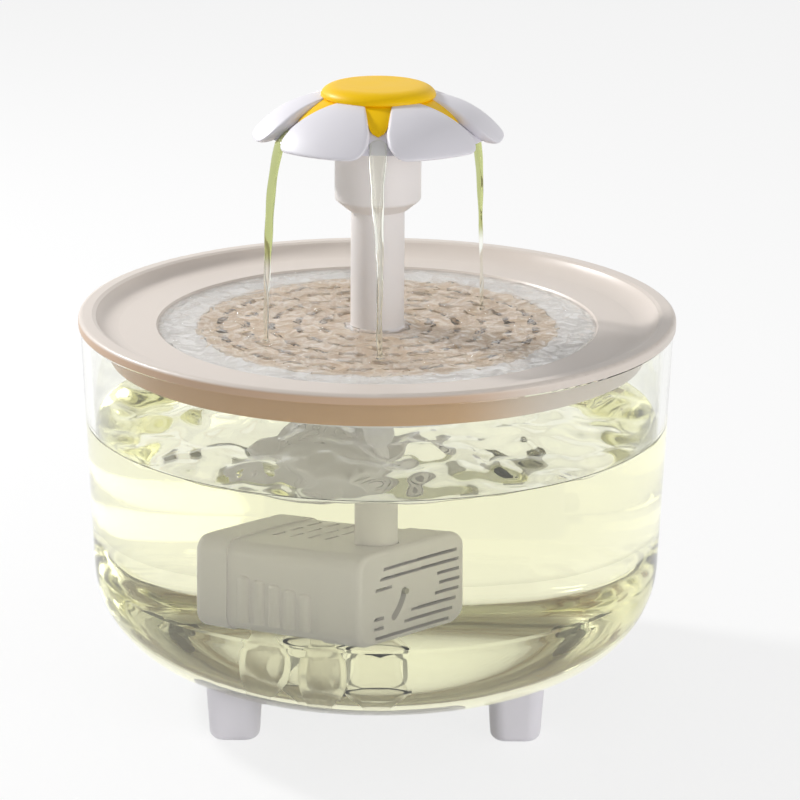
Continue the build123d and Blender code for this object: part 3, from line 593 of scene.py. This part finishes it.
def soft_clear_pvc():
    """Moulded soft PVC of suction cups: clear but dull, with soft edges."""
    # the cups stand in water, so their index counts from the water's, and it is low for soft edges
    material, tree, principled = new_material(
        "clear_soft_pvc", Transmission_Weight=1.0, IOR=1.02, Roughness=0.35,
    )
    point = object_point(tree)
    milk = add(tree, "ShaderNodeTexNoise", {"Vector": point, "Scale": 1 / 6, "Detail": 2.0})
    tint = add(tree, "ShaderNodeMix", {
        "Factor": milk.outputs["Fac"], 6: linear("#F1F0EE"), 7: linear("#FBFAF8"),
    }, data_type="RGBA")
    tree.links.new(tint.outputs[2], principled.inputs["Base Color"])
    return material


bowl_plastic = clear_plastic()
bowl_water_look = deep_water()
pool_water_look = rippled_water()
clear_stream = clear_water("falling_water", "#FBFCF6", "#F3F6EA")[0]
green_stream = tinted_stream()
cup_pvc = soft_clear_pvc()

node_looks = {
    "tray": tray_abs, "filter_grid": grid_abs, "filter_felt": needled_felt(), "filter_carbon": carbon,
    "riser": spout_abs, "spout_collar": spout_abs, "spout_ring": seal_rubber,
    "flower_petals": petal_abs, "flower_centre": yolk_abs,
    "pump_housing": pump_abs, "pump_front_cover": pump_abs, "pump_back_cap": pump_abs,
    "flow_lever": lever_abs, "volute_cover": pump_abs, "volute_seal_ring": seal_rubber,
    "pump_shaft": ground_steel(), "rear_bush": seal_rubber, "front_bush": seal_rubber,
    "impeller": acetal, "rotor_magnet": ferrite, "stator_core": laminated_steel(),
    "stator_coil": enamelled_copper(), "circuit_board": board, "cable_gland": gland_rubber,
    "outlet_tube": tube_abs, "bowl": bowl_plastic,
}
for node_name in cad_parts:
    if node_name.startswith("foot_pad"):
        node_looks[node_name] = pad_rubber
    elif node_name.startswith("foot_"):
        node_looks[node_name] = foot_abs
    elif node_name.startswith("suction_cup"):
        node_looks[node_name] = cup_pvc
for node_name, look in node_looks.items():
    node_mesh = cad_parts[node_name].data
    node_mesh.materials.clear()
    node_mesh.materials.append(look)


# ---- bowl and its water ------------------------------------------------------------
def bowl_side(inset, low_z):
    """The bowl's outline drawn in by inset: bottom edge, corner arc and start of the wall."""
    lean = (bowl_top_r - bowl_base_r) / (bowl_top_z - bowl_bottom_z)
    corner = bowl_corner_r - inset
    wall_r = bowl_base_r - inset + lean * (low_z - bowl_bottom_z)
    # the arc's centre lies one corner radius above the underside and inside the leaning wall
    tilt = degrees(atan(lean))
    centre_z = low_z + corner
    centre_out = wall_r + lean * corner - corner * sqrt(1 + lean * lean)
    arc = profile_arc((centre_out, centre_z), corner, -90, -tilt, bowl_corner_steps)
    return arc, lean, wall_r


def wave_height(x, y, swells, rings, spots):
    """How far water stands above its level: swells, and rings round the spots where water falls in."""
    height = 0.0
    for rise, wide, deep, cut in swells:
        height += rise * noise.noise(Vector((x / wide, y / deep, cut)))
    rise, pitch, reach = rings
    for spot_x, spot_y in spots:
        distance = hypot(x - spot_x, y - spot_y)
        height += rise * cos(distance * pitch) * exp(-distance / reach)
    return height


def drip_spots():
    """Where drops fall from the tray's drain holes."""
    for angle in drip_angles:
        yield drain_circle_r * cos(radians(angle)), drain_circle_r * sin(radians(angle))


def make_bowl_water():
    """The bowlful of water, with a wavy surface that climbs the wall."""
    floor_z = bowl_bottom_z + bowl_floor - wetting
    arc, lean, wall_r = bowl_side(bowl_wall - wetting, floor_z)
    edge_r = wall_r + lean * (water_z - floor_z)
    outline = [(0, arc[0][1])] + arc + [(edge_r + lean * meniscus, water_z + meniscus)]
    for k in range(bowl_water_rings):
        r = (edge_r - bowl_first_ring) * (1 - k / bowl_water_rings)
        outline.append((r, water_z + meniscus * exp(-(edge_r - r) / meniscus_run)))
    outline.append((0, water_z))
    bm = lathe(outline, fine_steps)
    spots = list(drip_spots())
    for v in bm.verts:
        r = hypot(v.co.x, v.co.y)
        if v.co.z >= water_z - level_slack and r < edge_r - bowl_still_edge:
            fade = min(1.0, (edge_r - r) / bowl_calm_run)
            v.co.z += fade * wave_height(v.co.x, v.co.y, bowl_swells, drip_rings, spots)
    return finish_piece(bm, "bowl_water", "base", bowl_water_look)


# ---- pool --------------------------------------------------------------------------
def landing_spots():
    """Where the streams meet the pool."""
    for azimuth, land_r, sideways, _ in streams.values():
        out = Vector((sin(radians(azimuth)), -cos(radians(azimuth)), 0))
        spot = out * land_r + Vector((out.y, -out.x, 0)) * sideways
        yield spot.x, spot.y


def make_pool_water():
    """Shallow water over the grid, broken into flat ripples by the falling streams."""
    outer_r = pool_r - pool_first_ring
    inner_r = riser_r + riser_gap
    bed_z = grid_low.z - wetting
    outline = [
        (inner_r, bed_z),
        (pool_r - pool_bank_run - pool_bank_gap, bed_z),
        (pool_r + wetting, pool_z + pool_edge_rise),
    ]
    for k in range(pool_water_rings + 1):
        outline.append((outer_r - (outer_r - inner_r) * k / pool_water_rings, pool_z))
    bm = lathe(outline, fine_steps, closed=True)
    spots = list(landing_spots())
    for v in bm.verts:
        if abs(v.co.z - pool_z) < level_slack:
            fade = min(1.0, (outer_r - hypot(v.co.x, v.co.y)) / pool_calm_run)
            v.co.z += fade * wave_height(v.co.x, v.co.y, pool_swells, stream_rings, spots)
    return finish_piece(bm, "pool_water", "tray_body", pool_water_look)


# ---- flower ------------------------------------------------------------------------
def circle_through(a, b, c):
    """Centre and radius of the circle through three (radius, height) points."""
    (ax, ay), (bx, by), (cx, cy) = a, b, c
    d = 2 * (ax * (by - cy) + bx * (cy - ay) + cx * (ay - by))
    a_square, b_square, c_square = (x**2 + y**2 for x, y in (a, b, c))
    ux = (a_square * (by - cy) + b_square * (cy - ay) + c_square * (ay - by)) / d
    uy = (a_square * (cx - bx) + b_square * (ax - cx) + c_square * (bx - ax)) / d
    return (ux, uy), hypot(ax - ux, ay - uy)


dome_centre, dome_r = circle_through(crown, shoulder, petal_rim)
dome_start = atan2(crown[1] - dome_centre[1], crown[0] - dome_centre[0])


def dome_at(share, inset):
    """Radius and height on the petals' line, from crown (0) to rim level (1), drawn in by inset."""
    reach = dome_r - inset
    end = asin((petal_rim[1] - dome_centre[1]) / reach)
    angle = dome_start + (end - dome_start) * share
    return dome_centre[0] + reach * cos(angle), dome_centre[1] + reach * sin(angle)


def gap_half(radius):
    """Half the width of the gap between two petals at a radius."""
    if radius < gap_narrow_r:
        t = (radius - gap_inner_r) / (gap_narrow_r - gap_inner_r)
        return gap_inner_half + (gap_outer_half - gap_inner_half) * max(0.0, t)
    t = (radius - gap_narrow_r) / (petal_rim[0] - gap_narrow_r)
    return gap_outer_half + (gap_mouth_half - gap_outer_half) * t * t


def petal_corner_drop(across, half_arc):
    """How far the rim draws back near a petal's rounded corner."""
    corner = min(petal_corner_r, half_arc)
    beyond = max(0.0, abs(across) * half_arc - (half_arc - corner))
    return corner - sqrt(max(corner**2 - beyond**2, 0.0))


def make_petal(k):
    """One petal: a shell that swells a little, with rounded corners at its rim."""
    middle = radians(-90 + 360 / petal_count * (k + 0.5))
    line_length = hypot(petal_rim[0] - crown[0], petal_rim[1] - crown[1])

    def spot(across, share, side):
        radius = dome_at(share, 0)[0]
        half_angle = pi / petal_count - asin(gap_half(radius) / radius)
        drop = petal_corner_drop(across, half_angle * radius)
        # only the petal's outer half draws back
        share -= drop * max(0.0, share - 0.5) * 2 / line_length
        puff = petal_puff * (1 - across**2) * 4 * share * (1 - share)
        radius, height = dome_at(share, petal_thickness if side else petal_edge_drop - puff)
        angle = middle + across * half_angle
        return radius * cos(angle), radius * sin(angle), height

    return plate(petal_across_steps, petal_along_steps, spot)


def make_petals():
    """All the petals as one piece."""
    bm = bmesh.new()
    for k in range(petal_count):
        join_into(bm, make_petal(k))
    return finish_piece(
        bm, "petals", "spout_body", petal_abs, ["flower_petals"], levels=2, crisp=pi,
    )


def make_gutter():
    """The dome under the petals that carries the water outwards in the gaps, and its neck."""
    shares = [gutter_reach * k / gutter_steps for k in range(gutter_steps + 1)]
    upper = [dome_at(share, petal_thickness) for share in shares]
    lower = [dome_at(share, petal_thickness + gutter_wall) for share in reversed(shares)]
    outline = [(0, upper[0][1])] + upper + lower + [(0, lower[-1][1])]
    bm = lathe(outline, round_steps)
    neck_low_z = collar_top_z - neck_in_collar
    neck_top_z = lower[-1][1] + neck_in_gutter
    neck = [
        (neck_r, neck_low_z), (neck_r, neck_top_z),
        (neck_r - neck_wall, neck_top_z), (neck_r - neck_wall, neck_low_z),
    ]
    join_into(bm, lathe(neck, small_steps, closed=True))
    return finish_piece(bm, "flower_gutter", "spout_body", petal_abs)


def make_arm(k):
    """One arm of the centre, lying in the gap between two petals and thinning to its tip."""
    angle = radians(-90 + 360 / petal_count * k)
    tip_inset = petal_thickness - arm_tip_rise

    def spot(u, w, side):
        share = arm_root_share + (arm_tip_share - arm_root_share) * w
        rounding = max(0.0, (w - (1 - arm_round_share)) / arm_round_share)
        tip = sqrt(max(1 - rounding**2, arm_tip_least))
        half = (arm_inner_half + (arm_tip_half - arm_inner_half) * w * w) * tip
        top_inset = arm_root_inset + (tip_inset - arm_root_inset) * w**arm_fall_power + arm_crown * u * u
        radius, height = dome_at(share, petal_thickness - arm_foot if side else top_inset)
        height = min(height, centre_top_z - arm_top_gap)
        across = u * half
        return radius * cos(angle) - across * sin(angle), radius * sin(angle) + across * cos(angle), height

    return plate(arm_across_steps, arm_along_steps, spot)


def make_flower_centre():
    """The yellow disc, with a level top and a rounded edge, and its arms."""
    under_z = centre_top_z - centre_side
    edge_run = centre_r - centre_flat_r
    edge_rise = centre_side - centre_foot
    outline = [(0, under_z), (centre_r - centre_foot, under_z)]
    for r, z in profile_arc((0, 0), 1, 0, 90, centre_edge_steps):
        outline.append((centre_flat_r + edge_run * r, under_z + centre_foot + edge_rise * z))
    bm = lathe(outline + [(0, centre_top_z)], round_steps)
    for k in range(petal_count):
        join_into(bm, make_arm(k))
    return finish_piece(bm, "yolk", "centre_body", yolk_abs, ["flower_centre"])


# ---- falling water -----------------------------------------------------------------
def make_stream(name, azimuth, land_r, sideways, phase):
    """Water that runs down a gutter, leaves its edge as a ribbon, and narrows as it falls."""
    edge_r, edge_z = dome_at(gutter_reach, petal_thickness - film_rise)
    land_z = pool_z - landing_depth
    out = Vector((sin(radians(azimuth)), -cos(radians(azimuth)), 0))
    along = Vector((out.y, -out.x, 0))

    def middle(share):
        """Radius and height of the ribbon's middle, and how far it has fallen, from 0 to 1."""
        if share < film_share:
            along_gutter = film_start + (1 - film_start) * share / film_share
            radius, height = dome_at(gutter_reach * along_gutter, petal_thickness - film_rise)
            return radius, height, 0.0
        fall = ((share - film_share) / (1 - film_share))**fall_ease
        radius = edge_r + (land_r - edge_r) * (1 - exp(-fall_bend * fall))
        return radius, edge_z + (land_z - edge_z) * fall, fall

    def spot(angle, share):
        radius, height, fall = middle(share)
        turn = twist * sin(phase + twist_waves * fall) * min(1.0, fall * 2)
        ends = sqrt(min(1.0, share / opening_share + opening_least))
        ends *= 1 + splash_gain * exp(-(1 - fall) * splash_narrowing)
        wide = land_wide + top_wide * (1 - fall) + gutter_wide * exp(-fall_bend * fall)
        wide += wide_waver * sin(wide_waves * fall + phase)
        deep = land_deep + top_deep * (1 - fall) + deep_waver * sin(deep_waves * fall)
        wide, deep = wide * ends * cos(angle), deep * ends * sin(angle)
        drift = along * (sideways * fall + sway * sin(sway_waves * fall))
        point = out * radius + drift
        point += along * (wide * cos(turn) - deep * sin(turn)) + out * (wide * sin(turn) + deep * cos(turn))
        return point.x, point.y, height

    look = clear_stream if azimuth == 0 else green_stream
    ribbon = tube(stream_around_steps, stream_along_steps, spot)
    return finish_piece(ribbon, name, "spout_body", look, crisp=pi)


def make_drips():
    """Thin threads of filtered water from the tray's drain holes to the bowl's water."""
    bm = bmesh.new()
    height = tray_low.z - water_z
    for x, y in drip_spots():

        def spot(angle, share):
            radius = drip_r + drip_hang * exp(-drip_narrowing * share)
            radius += drip_waver * sin(drip_waves * share + x)
            z = tray_low.z + drip_entry - height * share
            return x + radius * cos(angle), y + radius * sin(angle), z

        join_into(bm, tube(drip_around_steps, drip_along_steps, spot))
    return finish_piece(bm, "drips", "tray_body", clear_stream, crisp=pi)


make_bowl_water()
make_pool_water()
make_petals()
make_gutter()
make_flower_centre()
for stream_name, course in streams.items():
    make_stream(stream_name, *course)
make_drips()


# ---- floor, light and camera, in metres and degrees ---------------------------------
floor_r = 4.0
floor_steps = 96
floor_glow_share = 0.8            # how much of the floor's look is plain white
diffuse_light = 0.38              # strength of the world's light on the pieces
overhead_light = 0.45             # what mirrors and clear pieces show overhead
overhead_from, overhead_to = 0.40, 0.85   # sines of the angles above the horizon where it greys
lamps = {                         # place, width and watts
    "key": ((-0.80, 0.44, 0.74), 0.16, 10.5),
    "fill": ((1.0, -1.0, 0.34), 0.9, 8),
}
lamp_aim = (0, 0, 0.1)
camera_lens = 150.3               # in millimetres, as is the sensor's width
camera_sensor = 36
camera_shift = 0.029              # a share of the picture's width
camera_reach = 20
camera_place = (0, -1.0, 0.3976)
camera_pitch = 16.84              # how far it looks down
camera_roll = 0.3
# a ray through bowl and water crosses a dozen skins before it leaves them again
clear_bounces = 40
glossy_bounces = 12


def seen_directly(tree):
    """1 for rays that show the background: from the camera, mirrored or through clear pieces."""
    path = add(tree, "ShaderNodeLightPath")
    seen = add(tree, "ShaderNodeMath", {
        0: path.outputs["Is Camera Ray"], 1: path.outputs["Is Glossy Ray"],
    }, operation="MAXIMUM")
    return add(tree, "ShaderNodeMath", {
        0: seen.outputs[0], 1: path.outputs["Is Transmission Ray"],
    }, operation="MAXIMUM").outputs[0]


def make_floor():
    """A plain pale floor."""
    bm = bmesh.new()
    bmesh.ops.create_circle(bm, cap_ends=True, segments=floor_steps, radius=floor_r)
    mesh = bpy.data.meshes.new("floor")
    bm.to_mesh(mesh)
    bm.free()
    floor = bpy.data.objects.new("floor", mesh)
    bpy.context.scene.collection.objects.link(floor)
    material, tree, principled = new_material("pale_floor", Roughness=0.9)
    principled.inputs["Base Color"].default_value = linear("#F4F4F4")
    # seen directly the floor is white, and keeps a faint share of the shadows on it
    glow = add(tree, "ShaderNodeEmission", {"Strength": 1.0})
    share = add(tree, "ShaderNodeMath", {0: seen_directly(tree), 1: floor_glow_share}, operation="MULTIPLY")
    mixed = add(tree, "ShaderNodeMixShader", {
        "Fac": share.outputs[0], 1: principled.outputs["BSDF"], 2: glow.outputs["Emission"],
    })
    tree.links.new(mixed.outputs[0], tree.nodes["Material Output"].inputs["Surface"])
    mesh.materials.append(material)


def make_lamp(name, place, size, power):
    """A round soft lamp aimed at the fountain."""
    lamp_data = bpy.data.lights.new(name, "AREA")
    lamp_data.shape = "DISK"
    lamp_data.size = size
    lamp_data.energy = power
    lamp = bpy.data.objects.new(name, lamp_data)
    lamp.location = place
    direction = Vector(lamp_aim) - Vector(place)
    lamp.rotation_euler = direction.to_track_quat("-Z", "Y").to_euler()
    bpy.context.scene.collection.objects.link(lamp)


def make_world():
    """Even white light, with a background for mirrors and clear pieces."""
    world = bpy.data.worlds.new("studio")
    bpy.context.scene.world = world
    world.use_nodes = True
    tree = world.node_tree
    background = tree.nodes["Background"]
    # what mirrors and clear pieces show is white near the horizon and greyer overhead
    direction = add(tree, "ShaderNodeTexCoord").outputs["Generated"]
    axes = add(tree, "ShaderNodeSeparateXYZ", {"Vector": direction})
    overhead = add(tree, "ShaderNodeMapRange", {
        "Value": axes.outputs["Z"], "From Min": overhead_from, "From Max": overhead_to,
        "To Min": 1.0, "To Max": overhead_light,
    }, interpolation_type="SMOOTHSTEP")
    strength = add(tree, "ShaderNodeMapRange", {
        "Value": seen_directly(tree), "To Min": diffuse_light, "To Max": overhead.outputs["Result"],
    })
    tree.links.new(strength.outputs["Result"], background.inputs["Strength"])
    background.inputs["Color"].default_value = (1, 1, 1, 1)


def make_camera():
    """A camera in front of the fountain that looks a little down on it."""
    camera_data = bpy.data.cameras.new("camera")
    camera_data.lens = camera_lens
    camera_data.sensor_width = camera_sensor
    camera_data.shift_x = camera_shift
    camera_data.clip_end = camera_reach
    camera = bpy.data.objects.new("camera", camera_data)
    camera.location = camera_place
    look_down = Matrix.Rotation(pi / 2 - radians(camera_pitch), 3, "X")
    camera.rotation_euler = (look_down @ Matrix.Rotation(radians(camera_roll), 3, "Z")).to_euler()
    bpy.context.scene.collection.objects.link(camera)
    bpy.context.scene.camera = camera


make_floor()
make_world()
for lamp_name, lamp_settings in lamps.items():
    make_lamp(lamp_name, *lamp_settings)
make_camera()
bpy.context.scene.view_settings.view_transform = "Standard"
bpy.context.scene.cycles.max_bounces = clear_bounces
bpy.context.scene.cycles.transmission_bounces = clear_bounces
bpy.context.scene.cycles.glossy_bounces = glossy_bounces
